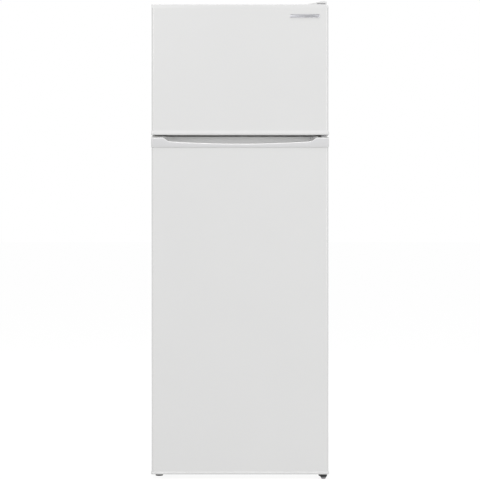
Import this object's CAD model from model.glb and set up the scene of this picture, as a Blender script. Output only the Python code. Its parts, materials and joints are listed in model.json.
"""Finished look of the top freezer refrigerator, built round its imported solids.

Metres, +Z up, doors facing -Y. Sizes come from the frame; sheet, wall and screw sizes are named.
"""
import json
import math

import bmesh
import bpy
from mathutils import Matrix, Vector


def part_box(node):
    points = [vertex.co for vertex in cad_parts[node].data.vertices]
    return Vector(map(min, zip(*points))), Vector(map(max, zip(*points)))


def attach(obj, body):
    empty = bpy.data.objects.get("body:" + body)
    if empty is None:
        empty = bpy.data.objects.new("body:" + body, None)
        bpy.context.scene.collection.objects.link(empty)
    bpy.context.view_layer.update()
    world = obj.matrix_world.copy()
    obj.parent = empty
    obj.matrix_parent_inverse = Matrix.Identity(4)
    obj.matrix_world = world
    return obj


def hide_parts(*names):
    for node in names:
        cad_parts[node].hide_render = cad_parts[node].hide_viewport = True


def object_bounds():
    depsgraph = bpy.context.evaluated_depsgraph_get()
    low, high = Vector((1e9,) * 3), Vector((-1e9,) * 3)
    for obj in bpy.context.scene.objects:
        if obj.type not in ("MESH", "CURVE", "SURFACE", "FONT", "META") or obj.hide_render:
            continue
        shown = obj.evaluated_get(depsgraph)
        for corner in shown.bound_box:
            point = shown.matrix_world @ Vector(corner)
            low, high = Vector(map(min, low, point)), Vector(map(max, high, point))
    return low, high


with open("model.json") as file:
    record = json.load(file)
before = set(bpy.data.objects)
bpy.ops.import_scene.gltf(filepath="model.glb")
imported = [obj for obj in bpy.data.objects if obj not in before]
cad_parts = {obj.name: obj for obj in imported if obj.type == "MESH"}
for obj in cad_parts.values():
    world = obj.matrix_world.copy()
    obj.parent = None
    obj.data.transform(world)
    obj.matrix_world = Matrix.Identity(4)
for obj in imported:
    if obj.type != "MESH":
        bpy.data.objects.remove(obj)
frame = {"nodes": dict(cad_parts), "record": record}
cad_low, cad_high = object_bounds()
NODES = frame["nodes"]

VIEW_HEIGHT = 0.741
VIEW_DISTANCE = 5.4
VIEW_LENS = 131.0
STAGE_REACH = 600.0
WORLD_LIGHT = 0.75

# doors
HINGE_AXIS = (0.259, -0.260)
SKIN_THICK = 0.0008
EDGE_ROUND = 0.008
HINGE_STEP, HINGE_STEP_DROP = 0.2425, 0.0025  # the cap steps down to clear the hinge tongue
LIP_TOP, SCOOP_END, SCOOP_SHOULDER = 1.0577, 0.2385, 0.220
SHOULDER_DROP, SAG = 0.0115, 0.0075
CAP_ROUND = 0.0016
GRIP_WALL, GRIP_ROUND = 0.0042, 0.0026
# half width, ridge width, heights and reach of each lining's dike
DIKES = {
    "freezer_door": (0.212, 0.018, (1.106, 1.424), -0.190),
    "fridge_door": (0.216, 0.020, (0.080, 1.008), -0.180),
}
DIKE_CORNER, SEAL_WIDTH, SEAM = 0.022, 0.018, 0.0003

# cavities
LINER_WALL = 0.0015
LINER_ROUND = 0.016
MOUTH_LIP = 0.004
FREEZER_CAVITY_HALF, FRIDGE_CAVITY_HALF = 0.222, 0.226
FREEZER_FLOOR, FREEZER_CEILING = 1.098, 1.432
FRIDGE_FLOOR, FRIDGE_CEILING = 0.070, 1.016
STEP_FRONT = 0.042
DIAL_STEP = 50  # degrees between the dial's marks; six steps make the whole turn

# back
COIL_TOP, COIL_RUNS, COIL_PITCH, COIL_HALF = 1.360, 15, 0.070, 0.160
COIL_TUBE, COIL_CORNER, GRID_WIRE, GRID_COUNT = 0.0024, 0.015, 0.00085, 31
RISER_X, OUTLET_X, RISER_FOOT = 0.205, -0.190, 0.270


# ---- material effects shared by node groups -----------------------------------------
def new_group(name, inputs, outputs):
    """An empty shader node group with float or colour sockets."""
    group = bpy.data.node_groups.new(name, "ShaderNodeTree")
    for label, kind, value in inputs:
        socket = group.interface.new_socket(label, in_out="INPUT", socket_type=kind)
        socket.default_value = value
    for label, kind in outputs:
        group.interface.new_socket(label, in_out="OUTPUT", socket_type=kind)
    return group, group.nodes.new("NodeGroupInput"), group.nodes.new("NodeGroupOutput")


FLOAT, COLOUR = "NodeSocketFloat", "NodeSocketColor"


def math_node(tree, operation, first, second=None):
    node = tree.nodes.new("ShaderNodeMath")
    node.operation = operation
    for slot, value in zip(node.inputs, (first, second)):
        if isinstance(value, (int, float)):
            slot.default_value = value
        elif value is not None:
            tree.links.new(value, slot)
    return node.outputs[0]


def noise_node(tree, scale, detail, vector):
    node = tree.nodes.new("ShaderNodeTexNoise")
    node.inputs["Detail"].default_value = detail
    tree.links.new(vector, node.inputs["Vector"])
    if isinstance(scale, (int, float)):
        node.inputs["Scale"].default_value = scale
    else:
        tree.links.new(scale, node.inputs["Scale"])
    return node.outputs["Fac"]


def ramp_node(tree, value, low, high, to_low, to_high):
    node = tree.nodes.new("ShaderNodeMapRange")
    node.clamp = True
    for name, number in zip(("From Min", "From Max", "To Min", "To Max"),
                            (low, high, to_low, to_high)):
        node.inputs[name].default_value = number
    tree.links.new(value, node.inputs["Value"])
    return node.outputs["Result"]


def mix_colour(tree, factor, first, second):
    node = tree.nodes.new("ShaderNodeMix")
    node.data_type = "RGBA"
    tree.links.new(factor, node.inputs["Factor"])
    for socket, value in ((node.inputs[6], first), (node.inputs[7], second)):
        if isinstance(value, tuple):
            socket.default_value = (*value, 1.0)
        else:
            tree.links.new(value, socket)
    return node.outputs[2]


def make_grain_group():
    """Fine bumps of sprayed paint or moulded plastic, with slow waviness under them."""
    group, given, result = new_group(
        "surface_grain",
        [("Fine Scale", FLOAT, 900.0), ("Wave Scale", FLOAT, 12.0), ("Wave Share", FLOAT, 0.4)],
        [("Height", FLOAT), ("Mottle", FLOAT)],
    )
    place = group.nodes.new("ShaderNodeTexCoord").outputs["Object"]
    fine = noise_node(group, given.outputs["Fine Scale"], 2.0, place)
    wave = noise_node(group, given.outputs["Wave Scale"], 1.0, place)
    wave_part = math_node(group, "MULTIPLY", wave, given.outputs["Wave Share"])
    total = math_node(group, "ADD", fine, wave_part)
    group.links.new(total, result.inputs["Height"])
    mottle = noise_node(group, 7.0, 3.0, place)
    group.links.new(mottle, result.inputs["Mottle"])
    return group


def make_wear_group():
    """Handling marks: smudges that dull a gloss, and dust that settles on upward faces."""
    group, given, result = new_group(
        "handling_wear",
        [("Colour", COLOUR, (0.8, 0.8, 0.8, 1)), ("Dust Colour", COLOUR, (0.55, 0.52, 0.47, 1)),
         ("Dust", FLOAT, 0.1), ("Roughness", FLOAT, 0.4), ("Smudge", FLOAT, 0.1),
         ("Tone Change", FLOAT, 0.02)],
        [("Colour", COLOUR), ("Roughness", FLOAT)],
    )
    place = group.nodes.new("ShaderNodeTexCoord").outputs["Object"]
    facing = group.nodes.new("ShaderNodeSeparateXYZ")
    normal = group.nodes.new("ShaderNodeNewGeometry").outputs["Normal"]
    group.links.new(normal, facing.inputs[0])
    upward = ramp_node(group, facing.outputs["Z"], 0.6, 1.0, 0.0, 1.0)
    patches = ramp_node(group, noise_node(group, 35.0, 4.0, place), 0.40, 0.75, 0.0, 1.0)
    dusty = math_node(group, "MULTIPLY", math_node(group, "MULTIPLY", upward, patches),
                      given.outputs["Dust"])
    tone = ramp_node(group, noise_node(group, 5.0, 3.0, place), 0.3, 0.7, -1.0, 1.0)
    scaled = math_node(group, "ADD", 1.0, math_node(group, "MULTIPLY", tone,
                                                    given.outputs["Tone Change"]))
    toned = group.nodes.new("ShaderNodeVectorMath")
    toned.operation = "SCALE"
    group.links.new(given.outputs["Colour"], toned.inputs[0])
    group.links.new(scaled, toned.inputs["Scale"])
    mixed = mix_colour(group, dusty, toned.outputs[0], given.outputs["Dust Colour"])
    group.links.new(mixed, result.inputs["Colour"])
    smears = ramp_node(group, noise_node(group, 22.0, 5.0, place), 0.45, 0.72, 0.0, 1.0)
    dulled = math_node(group, "MULTIPLY", smears, given.outputs["Smudge"])
    rough = math_node(group, "ADD", given.outputs["Roughness"], dulled)
    rough = math_node(group, "ADD", rough, math_node(group, "MULTIPLY", dusty, 0.4))
    group.links.new(rough, result.inputs["Roughness"])
    return group


GRAIN = make_grain_group()
WEAR = make_wear_group()


def place_group(tree, group, **values):
    """Put a shared effect in a material with its own values."""
    node = tree.nodes.new("ShaderNodeGroup")
    node.node_tree = group
    for label, value in values.items():
        node.inputs[label.replace("_", " ")].default_value = value
    return node


def add_bump(tree, shader, height, distance, strength=1.0):
    bump = tree.nodes.new("ShaderNodeBump")
    bump.inputs["Strength"].default_value = strength
    bump.inputs["Distance"].default_value = distance
    tree.links.new(height, bump.inputs["Height"])
    tree.links.new(bump.outputs["Normal"], shader.inputs["Normal"])


def finish(name, colour, roughness, grain=900.0, bump=0.00004, wave=0.4, dust=0.08, smudge=0.08,
           tone=0.015, **shader_values):
    """A worn, grained surface; every constant value sits on the shader's own socket."""
    material = bpy.data.materials.new(name)
    material.use_nodes = True
    tree = material.node_tree
    shader = tree.nodes["Principled BSDF"]
    wear = place_group(
        tree, WEAR, Colour=(*colour, 1.0), Dust=dust, Roughness=roughness, Smudge=smudge,
        Tone_Change=tone,
    )
    tree.links.new(wear.outputs["Colour"], shader.inputs["Base Color"])
    tree.links.new(wear.outputs["Roughness"], shader.inputs["Roughness"])
    relief = place_group(tree, GRAIN, Fine_Scale=grain, Wave_Share=wave)
    add_bump(tree, shader, relief.outputs["Height"], bump)
    for label, value in shader_values.items():
        shader.inputs[label.replace("_", " ")].default_value = value
    return material


def insulation_foam():
    """Cut foam with its small cells."""
    material = finish("insulation_foam", (0.62, 0.50, 0.26), 0.95, dust=0.1, tone=0.10)
    tree = material.node_tree
    shader = tree.nodes["Principled BSDF"]
    cells = tree.nodes.new("ShaderNodeTexVoronoi")
    cells.inputs["Scale"].default_value = 700.0
    tree.links.new(tree.nodes.new("ShaderNodeTexCoord").outputs["Object"], cells.inputs["Vector"])
    add_bump(tree, shader, cells.outputs["Distance"], 0.0006)
    return material


def brushed_metal(name, colour, roughness, direction, dust=0.1):
    """Metal with streaks drawn out along one axis and patchy plating."""
    material = bpy.data.materials.new(name)
    material.use_nodes = True
    tree = material.node_tree
    shader = tree.nodes["Principled BSDF"]
    shader.inputs["Metallic"].default_value = 1.0
    mapping = tree.nodes.new("ShaderNodeMapping")
    mapping.inputs["Scale"].default_value = direction
    place = tree.nodes.new("ShaderNodeTexCoord").outputs["Object"]
    tree.links.new(place, mapping.inputs["Vector"])
    streaks = noise_node(tree, 60.0, 4.0, mapping.outputs["Vector"])
    wear = place_group(tree, WEAR, Colour=(*colour, 1.0), Dust=dust, Roughness=roughness,
                       Smudge=0.18, Tone_Change=0.08)
    tree.links.new(wear.outputs["Colour"], shader.inputs["Base Color"])
    spread = ramp_node(tree, streaks, 0.3, 0.7, -0.07, 0.07)
    rough = math_node(tree, "ADD", wear.outputs["Roughness"], spread)
    tree.links.new(rough, shader.inputs["Roughness"])
    add_bump(tree, shader, streaks, 0.00003)
    return material


# material name, colour, roughness and the finish's own settings, by material slot
MOULDED_AND_PAINTED = {
    "door_paint": ("door_enamel", (0.55, 0.55, 0.548), 0.28, dict(
        grain=420.0, bump=0.000012, wave=1.2, dust=0.02, smudge=0.04, tone=0.006,
        Coat_Weight=0.35, Coat_Roughness=0.12)),
    "cabinet_paint": ("cabinet_enamel", (0.60, 0.60, 0.59), 0.42, dict(
        grain=650.0, bump=0.00012, wave=0.2, dust=0.30, smudge=0.05)),
    "cap_plastic": ("cap_plastic", (0.55, 0.55, 0.548), 0.34, dict(
        grain=1500.0, bump=0.00002, dust=0.03)),
    # cool grey front of the handle cap, and its lip polished by hands
    "grip_band": ("grip_band", (0.500, 0.500, 0.505), 0.34, dict(
        grain=1500.0, bump=0.00002, dust=0.0, Coat_Weight=0.5, Coat_Roughness=0.12)),
    "lip_plastic": ("lip_plastic", (0.69, 0.69, 0.685), 0.30, dict(
        grain=1500.0, bump=0.00002, dust=0.0, Coat_Weight=0.5, Coat_Roughness=0.10)),
    "liner_plastic": ("liner_plastic", (0.66, 0.66, 0.655), 0.30, dict(
        grain=300.0, bump=0.00003, wave=1.5, dust=0.0, tone=0.02)),
    "white_moulding": ("white_moulding", (0.64, 0.64, 0.63), 0.38, dict(
        grain=1800.0, bump=0.00004)),
    "clear_plastic": ("clear_moulding", (0.86, 0.92, 0.95), 0.16, dict(
        grain=500.0, bump=0.00002, dust=0.0, smudge=0.10, Transmission_Weight=0.75, IOR=1.49)),
    "lamp_plastic": ("frosted_lens", (0.85, 0.85, 0.80), 0.45, dict(
        grain=1200.0, bump=0.00006, dust=0.0, Transmission_Weight=0.35, IOR=1.49)),
    "shelf_glass": ("float_glass", (0.80, 0.93, 0.89), 0.04, dict(
        grain=60.0, bump=0.00001, dust=0.0, smudge=0.05, tone=0.01, Transmission_Weight=0.9,
        IOR=1.52)),
    "lamp_glass": ("lamp_glass", (0.92, 0.90, 0.84), 0.20, dict(
        grain=300.0, bump=0.00001, dust=0.0)),
    "seal_rubber": ("seal_rubber", (0.50, 0.50, 0.49), 0.62, dict(
        grain=1400.0, bump=0.00005, dust=0.10)),
    "grommet_rubber": ("black_rubber", (0.020, 0.020, 0.021), 0.75, dict(
        grain=1600.0, bump=0.00008, dust=0.25)),
    "foot_rubber": ("foot_rubber", (0.004, 0.004, 0.004), 0.85, dict(
        grain=1500.0, bump=0.00003)),
    "black_plastic": ("black_moulding", (0.018, 0.018, 0.019), 0.42, dict(
        grain=1500.0, bump=0.00005, dust=0.15)),
    "black_enamel": ("black_enamel", (0.012, 0.012, 0.013), 0.33, dict(
        grain=500.0, bump=0.00008, wave=0.8, dust=0.35, smudge=0.15)),
}
# material name, colour, roughness, stretch of the streaks and dust, by material slot
METALS = {
    "zinc_steel": ("zinc_steel", (0.56, 0.56, 0.57), 0.36, (1.0, 14.0, 14.0), 0.15),
    "copper": ("copper_tube", (0.66, 0.33, 0.20), 0.28, (6.0, 6.0, 1.0), 0.12),
    "silver_trim": ("silver_trim", (0.42, 0.42, 0.44), 0.30, (1.0, 20.0, 20.0), 0.0),
    "screw_steel": ("screw_steel", (0.60, 0.60, 0.60), 0.30, (4.0, 4.0, 4.0), 0.05),
    "foot_steel": ("foot_steel", (0.20, 0.20, 0.205), 0.42, (4.0, 4.0, 1.0), 0.05),
    "evaporator_aluminium": ("evaporator_sheet", (0.70, 0.71, 0.73), 0.34, (14.0, 1.0, 14.0), 0.0),
}
MATERIALS = {
    slot: finish(name, colour, roughness, **settings)
    for slot, (name, colour, roughness, settings) in MOULDED_AND_PAINTED.items()
}
MATERIALS |= {slot: brushed_metal(*values) for slot, values in METALS.items()}
MATERIALS["insulation"] = insulation_foam()


# ---- stage --------------------------------------------------------------------------
def make_camera():
    """Level view from straight in front."""
    data = bpy.data.cameras.new("camera")
    data.lens = VIEW_LENS
    camera = bpy.data.objects.new("camera", data)
    bpy.context.scene.collection.objects.link(camera)
    camera.location = (0.0, cad_low.y - VIEW_DISTANCE, VIEW_HEIGHT)
    camera.rotation_euler = (math.radians(90), 0, 0)
    bpy.context.scene.camera = camera


def area_light(name, location, target, size, power):
    """A rectangular lamp aimed at a point."""
    data = bpy.data.lights.new(name, "AREA")
    data.shape = "RECTANGLE"
    data.size, data.size_y = size
    data.energy = power
    light = bpy.data.objects.new(name, data)
    light.location = location
    aim = Vector(target) - Vector(location)
    light.rotation_euler = aim.to_track_quat("-Z", "Y").to_euler()
    bpy.context.scene.collection.objects.link(light)


def make_stage():
    scene = bpy.context.scene
    scene.view_settings.view_transform = "Standard"
    world = bpy.data.worlds.new("studio")
    world.use_nodes = True
    tree = world.node_tree
    sky = tree.nodes["Background"]
    sky.inputs["Color"].default_value = (1, 1, 1, 1)
    # the backdrop itself is white; the light it gives is a little softer
    seen = tree.nodes.new("ShaderNodeLightPath").outputs["Is Camera Ray"]
    tree.links.new(ramp_node(tree, seen, 0.0, 1.0, WORLD_LIGHT, 1.0), sky.inputs["Strength"])
    scene.world = world
    bm = bmesh.new()
    bmesh.ops.create_grid(bm, x_segments=1, y_segments=1, size=STAGE_REACH)
    mesh = bpy.data.meshes.new("studio_floor")
    bm.to_mesh(mesh)
    bm.free()
    floor = bpy.data.objects.new("studio_floor", mesh)
    scene.collection.objects.link(floor)
    pale = bpy.data.materials.new("pale_floor")
    pale.use_nodes = True
    shader = pale.node_tree.nodes["Principled BSDF"]
    shader.inputs["Base Color"].default_value = (0.12, 0.12, 0.12, 1)
    shader.inputs["Roughness"].default_value = 0.9
    shader.inputs["Specular IOR Level"].default_value = 0.0
    shader.inputs["Emission Color"].default_value = (1, 1, 1, 1)
    shader.inputs["Emission Strength"].default_value = 0.90
    mesh.materials.append(pale)
    area_light("key", (-2.6, -4.2, 3.0), (0, 0, 0.6), (2.5, 2.5), 76)
    area_light("fill", (3.2, -3.6, 1.6), (0, 0, 0.5), (2.5, 2.5), 52)
    area_light("top", (0.0, -1.3, 6.0), (0, -0.3, 1.0), (2.0, 2.0), 130)
    area_light("back", (0.5, 4.0, 3.2), (0, 0, 0.8), (3.0, 2.0), 60)


make_camera()
make_stage()


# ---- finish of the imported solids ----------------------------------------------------
SLOTS = {row["node"]: row["material_slot"] for row in frame["record"]["subparts"]}
OWN_FINISH = {
    "control_housing": "white_moulding", "thermostat_knob": "white_moulding",
    "light_switch_plunger": "white_moulding", "drip_tray": "white_moulding",
    "freezer_shelf": "white_moulding", "lamp_bulb": "lamp_glass",
}


def finish_nodes():
    for name, node in NODES.items():
        material = MATERIALS[OWN_FINISH.get(name, SLOTS[name])]
        node.data.materials.clear()
        node.data.materials.append(material)


finish_nodes()

# ---- making pieces ------------------------------------------------------------------
def shape(name, bm, material, body, replaced=(), smooth=35.0):
    """Turn a bmesh into a finished piece riding on a body."""
    mesh = bpy.data.meshes.new(name)
    bm.to_mesh(mesh)
    bm.free()
    mesh.materials.append(MATERIALS[material])
    mesh.shade_smooth()
    mesh.set_sharp_from_angle(angle=math.radians(smooth))
    piece = bpy.data.objects.new(name, mesh)
    bpy.context.scene.collection.objects.link(piece)
    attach(piece, body)
    if replaced:
        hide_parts(*replaced)
    return piece


def centred(node):
    """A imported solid's box and its middle."""
    low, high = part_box(node)
    return low, high, (low + high) / 2


def mirrored(side, inner, outer):
    """Sorted limits of a span on one side of the middle."""
    return sorted((side * inner, side * outer))


def corners(across, up):
    """The four corners of a rectangle in a plane."""
    return [(across[0], up[0]), (across[1], up[0]), (across[1], up[1]), (across[0], up[1])]


def circle_point(radius, degrees):
    """Place on a circle round the origin, as (across, up)."""
    a = math.radians(degrees)
    return radius * math.cos(a), radius * math.sin(a)


def tidy(bm):
    """Weld doubled points, then turn every face outwards."""
    bmesh.ops.remove_doubles(bm, verts=bm.verts, dist=0.000005)
    bmesh.ops.recalc_face_normals(bm, faces=bm.faces)
    return bm


def merge(bm, other):
    """Add another bmesh's geometry to this one."""
    mesh = bpy.data.meshes.new("part")
    other.to_mesh(mesh)
    other.free()
    bm.from_mesh(mesh)
    bpy.data.meshes.remove(mesh)
    return bm


def block(low, high):
    """A plain box between two corners."""
    bm = bmesh.new()
    bmesh.ops.create_cube(bm, size=1.0)
    size = Vector(high) - Vector(low)
    bmesh.ops.scale(bm, verts=bm.verts, vec=size)
    bmesh.ops.translate(bm, verts=bm.verts, vec=Vector(low) + size / 2)
    return bm


def soften(bm, width, segments=3, edges=None):
    """Round all of a shape's edges, or only the given ones."""
    bmesh.ops.bevel(
        bm, geom=list(edges if edges is not None else bm.edges), offset=width,
        offset_type="OFFSET", segments=segments, profile=0.5, affect="EDGES", material=-1,
        clamp_overlap=True,
    )
    return bm


def soft_block(low, high, width, segments=3):
    return soften(block(low, high), width, segments)


def faces_towards(bm, direction, limit=0.9):
    way = Vector(direction)
    bm.normal_update()
    return [f for f in bm.faces if f.normal.dot(way) > limit]


def open_sides(bm, *directions):
    """Take away the faces of a block that look along the given directions."""
    sides = [face for way in directions for face in faces_towards(bm, way)]
    bmesh.ops.delete(bm, geom=sides, context="FACES")


def level_edges(bm):
    """Edges that lie flat."""
    return [e for e in bm.edges if abs(e.verts[0].co.z - e.verts[1].co.z) < 1e-6]


def edges_along(bm, direction, limit=0.99):
    way = Vector(direction)
    found = []
    for edge in bm.edges:
        run = edge.verts[1].co - edge.verts[0].co
        if run.length > 0 and abs(run.normalized().dot(way)) > limit:
            found.append(edge)
    return found


def lathe(profile, centre, axis="Z", steps=40):
    """Spin a profile of (radius, height) points; heights run along the axis."""
    bm = bmesh.new()
    verts = [bm.verts.new((radius, 0, height)) for radius, height in profile]
    edges = [bm.edges.new(pair) for pair in zip(verts, verts[1:])]
    bmesh.ops.spin(
        bm, geom=verts + edges, cent=(0, 0, 0), axis=(0, 0, 1), angle=math.tau, steps=steps,
        use_merge=True, use_duplicate=False,
    )
    turns = {
        "X": Matrix.Rotation(math.pi / 2, 3, "Y"), "Y": Matrix.Rotation(-math.pi / 2, 3, "X"),
        "-Y": Matrix.Rotation(math.pi / 2, 3, "X"), "-Z": Matrix.Rotation(math.pi, 3, "X"),
    }
    if axis in turns:
        bmesh.ops.rotate(bm, verts=bm.verts, cent=(0, 0, 0), matrix=turns[axis])
    bmesh.ops.translate(bm, verts=bm.verts, vec=centre)
    return tidy(bm)


def loop_edges(bm, points):
    verts = [bm.verts.new(p) for p in points]
    return [bm.edges.new(pair) for pair in zip(verts, verts[1:] + verts[:1])]


def loft(sections, closed=False):
    """Skin a row of matching closed loops; the ends are filled unless the row closes."""
    bm = bmesh.new()
    loops = [loop_edges(bm, points) for points in sections]
    rows = list(zip(loops, loops[1:] + loops[:1] if closed else loops[1:]))
    for first, second in rows:
        bmesh.ops.bridge_loops(bm, edges=first + second)
    if not closed:
        for loop in (loops[0], loops[-1]):
            bmesh.ops.contextual_create(bm, geom=loop)
    bmesh.ops.recalc_face_normals(bm, faces=bm.faces)
    return bm


def fillet(corner, before, after, radius, steps=4):
    """Points of a rounded corner between two straight runs, in the plane."""
    c, a, b = Vector(corner), Vector(before), Vector(after)
    u, v = (a - c).normalized(), (b - c).normalized()
    half = u.angle(v) / 2
    reach = radius / math.tan(half)
    start, end = c + u * reach, c + v * reach
    centre = c + (u + v).normalized() * (radius / math.sin(half))
    points = []
    first, last = start - centre, end - centre
    for i in range(steps + 1):
        t = i / steps
        turn = first.angle(last)
        mix = (math.sin((1 - t) * turn) * first + math.sin(t * turn) * last) / math.sin(turn)
        points.append(tuple(centre + mix))
    return points


def rounded(points, radii, steps=4):
    """A closed outline with each corner rounded by its own radius."""
    outline = []
    count = len(points)
    for i, (point, radius) in enumerate(zip(points, radii)):
        if radius:
            outline += fillet(point, points[i - 1], points[(i + 1) % count], radius, steps)
        else:
            outline.append(tuple(point))
    return outline


def extruded(outline, plane, start, end):
    """A closed outline drawn out along the third axis."""
    places = {
        "XY": lambda u, v, w: (u, v, w), "XZ": lambda u, v, w: (u, w, v),
        "YZ": lambda u, v, w: (w, u, v),
    }
    place = places[plane]
    return loft([[place(u, v, w) for u, v in outline] for w in (start, end)])


def ring_path(half, low, high, corner, steps=5):
    """(x, z, inward normal) round an upright rounded rectangle."""
    path = []
    for sx, sz, start in ((1, 1, 0), (-1, 1, 90), (-1, -1, 180), (1, -1, 270)):
        cx = sx * (half - corner)
        cz = high - corner if sz > 0 else low + corner
        for i in range(steps + 1):
            a = math.radians(start + 90 * i / steps)
            out = (math.cos(a), math.sin(a))
            path.append((cx + corner * out[0], cz + corner * out[1], -out[0], -out[1]))
    return path


def ring_sweep(profile, half, heights, corner, steps=5):
    """Run a closed (inset, y) profile round a rounded rectangle in the door's plane."""
    sections = []
    for x, z, nx, nz in ring_path(half, *heights, corner, steps):
        sections.append([(x + nx * inset, y, z + nz * inset) for inset, y in profile])
    return loft(sections, closed=True)


def tube(points, radius, sides=10, closed=False):
    """A round tube along points, as bridged rings carried without twist."""
    path = [Vector(p) for p in points]
    sections = []
    normal = None
    for i, here in enumerate(path):
        ahead = path[min(i + 1, len(path) - 1)] - path[max(i - 1, 0)]
        ahead.normalize()
        if normal is None:
            normal = ahead.orthogonal().normalized()
        normal = (normal - ahead * normal.dot(ahead)).normalized()
        side = ahead.cross(normal)
        ring = []
        for k in range(sides):
            a = math.tau * k / sides
            ring.append(here + radius * (math.cos(a) * normal + math.sin(a) * side))
        sections.append(ring)
    return loft(sections, closed)


def screw_head(centre, facing, radius=0.0042, height=0.0022):
    """Pan head with a cross recess, facing along an axis."""
    dome = [(0.0, height * 0.45), (radius * 0.16, height * 0.45), (radius * 0.30, height * 0.98),
            (radius * 0.62, height * 0.86), (radius * 0.90, height * 0.50), (radius, height * 0.1),
            (radius, 0), (0, 0)]
    return lathe(dome, centre, facing, 16)


# ---- doors, outside -----------------------------------------------------------------
def door_panel(node, body):
    """Sheet folded round the front and sides, with softly rounded upright edges."""
    low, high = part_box(node)
    bm = block(low, high)
    open_sides(bm, (0, 1, 0), (0, 0, 1), (0, 0, -1))
    front = [e for e in edges_along(bm, (0, 0, 1)) if e.verts[0].co.y < low.y + 0.001]
    soften(bm, EDGE_ROUND, 10, front)
    bmesh.ops.solidify(bm, geom=bm.faces[:], thickness=SKIN_THICK)
    shape(node + "_panel", tidy(bm), "door_paint", body, [node])


def lip_height(x):
    """Height of the grip's lip: flat ends, a slope, then a shallow sag to the middle."""
    reach = abs(x)
    if reach >= SCOOP_END:
        return LIP_TOP
    if reach >= SCOOP_SHOULDER:
        t = (SCOOP_END - reach) / (SCOOP_END - SCOOP_SHOULDER)
        return LIP_TOP - SHOULDER_DROP * (t * t * (3 - 2 * t) * 0.35 + t * 0.65)
    return LIP_TOP - SHOULDER_DROP - SAG * (1 - (reach / SCOOP_SHOULDER) ** 2)


def grip_section(x, low, high):
    """Cross-section of the handle cap at one place: front wall, lip, pocket, rear wall."""
    top, front, back = high.z, low.y, high.y
    lip = lip_height(x)
    depth = min(1.0, max(0.0, (LIP_TOP - lip) / SHOULDER_DROP))
    past = min(1.0, max(0.0, (x - HINGE_STEP) / 0.001))
    top -= past * HINGE_STEP_DROP
    wall, r = GRIP_WALL, GRIP_ROUND
    floor = lip - 0.0004 - depth * 0.0075
    back_wall = front + wall + 0.0080 + depth * 0.0155
    points = [(back, low.z), (front + 0.002, low.z), (front + 0.0006, low.z + 0.0006),
              (front, low.z + 0.002), (front, lip - r * 1.3)]
    points += [(front + r - r * math.cos(math.radians(a)), lip - r + r * math.sin(math.radians(a)))
               for a in (15, 35, 55, 75, 90)]
    points += [(front + wall - 0.0004, lip - 0.0001), (front + wall, lip - 0.0004 - depth * r),
               (front + wall + depth * 0.0012, floor - 0.0001)]
    for i in range(1, 9):
        a = math.radians(90 * i / 8)
        points.append((
            front + wall + depth * 0.0012 + (back_wall - front - wall) * math.sin(a),
            floor + (top - 0.0012 - floor) * (1 - math.cos(a)),
        ))
    points += [(back_wall + 0.0030, top), (back, top)]
    return [(x, y, z) for y, z in points]


def handle_cap():
    """Upper cap of the lower door, with the wide recessed grip."""
    node = "fridge_door_top_cap"
    low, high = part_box(node)
    half = high.x
    stations = [half - CAP_ROUND, half - 0.0006, half]
    ends = [0.2395, 0.2385, 0.2365, 0.2345, 0.232, 0.229, 0.226, 0.223, 0.220, 0.216]
    inner = [0.208 - 0.208 * i / 12 for i in range(13)]
    right = sorted(stations + ends + inner)
    xs = sorted([-x for x in right if x > 0] + right + [HINGE_STEP, HINGE_STEP + 0.001])
    sections = []
    for x in xs:
        section = grip_section(x, low, high)
        over = max(0.0, abs(x) - (half - CAP_ROUND))
        if over:
            shrink = CAP_ROUND - math.sqrt(max(0.0, CAP_ROUND**2 - over**2))
            section = [
                (px, max(py, low.y + shrink), min(max(pz, low.z + shrink), high.z - shrink))
                for px, py, pz in section
            ]
        sections.append(section)
    cap = shape("handle_cap", loft(sections), "cap_plastic", "fridge_door", [node], 28)
    cap.data.materials.append(MATERIALS["grip_band"])
    cap.data.materials.append(MATERIALS["lip_plastic"])
    for face in cap.data.polygons:
        if face.normal.y < -0.93 and face.center.y < low.y + 0.0012:
            face.material_index = 1
        elif face.normal.z > 0.1 and face.center.y < low.y + 0.0040:
            face.material_index = 2


def groove_section(x, low, high, panel_half):
    """Cross-section of the freezer's lower cap: flared rim and a finger groove below."""
    out = max(0.0, min(1.0, (abs(x) - panel_half) / (high.x - panel_half)))
    base = low.z + 0.0002 + out * 0.0012
    top = high.z + 0.0003 - out * 0.0053  # closes the seam under the panel
    front = low.y + out * 0.0012
    reach = max(0.0, min(1.0, (0.238 - abs(x)) / 0.012))
    depth = 0.0055 * reach * reach * (3 - 2 * reach)
    groove_front, groove_back = low.y + 0.0062, low.y + 0.0275
    points = [(high.y, top), (front + 0.0020, top), (front + 0.0018, top - 0.0016)]
    points += [(front + 0.0013, top - 0.0036), (front + 0.0005, top - 0.0062),
               (front, top - 0.0090 + out * 0.0030), (front, base + 0.0020),
               (front + 0.0005, base + 0.0006), (front + 0.0018, base)]
    points += [(groove_front, base), (groove_front + 0.0010, base + depth * 0.6),
               (groove_front + 0.0040, base + depth), (groove_back - 0.0060, base + depth),
               (groove_back - 0.0010, base + depth * 0.5), (groove_back, base), (high.y, base)]
    return [(x, y, z) for y, z in points]


def freezer_lower_cap():
    """Lower cap of the freezer door, with a finger groove under it."""
    node = "freezer_door_bottom_cap"
    low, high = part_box(node)
    panel_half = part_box("freezer_door_skin")[1].x
    rim = [panel_half + (high.x - panel_half) * i / 5 for i in range(6)]
    right = [0.05, 0.10, 0.15, 0.20, 0.226, 0.229, 0.232, 0.235, 0.238, 0.255, *rim]
    xs = [-x for x in reversed(right)] + [0.0] + right
    sections = [groove_section(x, low, high, panel_half) for x in xs]
    shape("freezer_lower_cap", loft(sections), "cap_plastic", "freezer_door", [node], 35)


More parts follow.
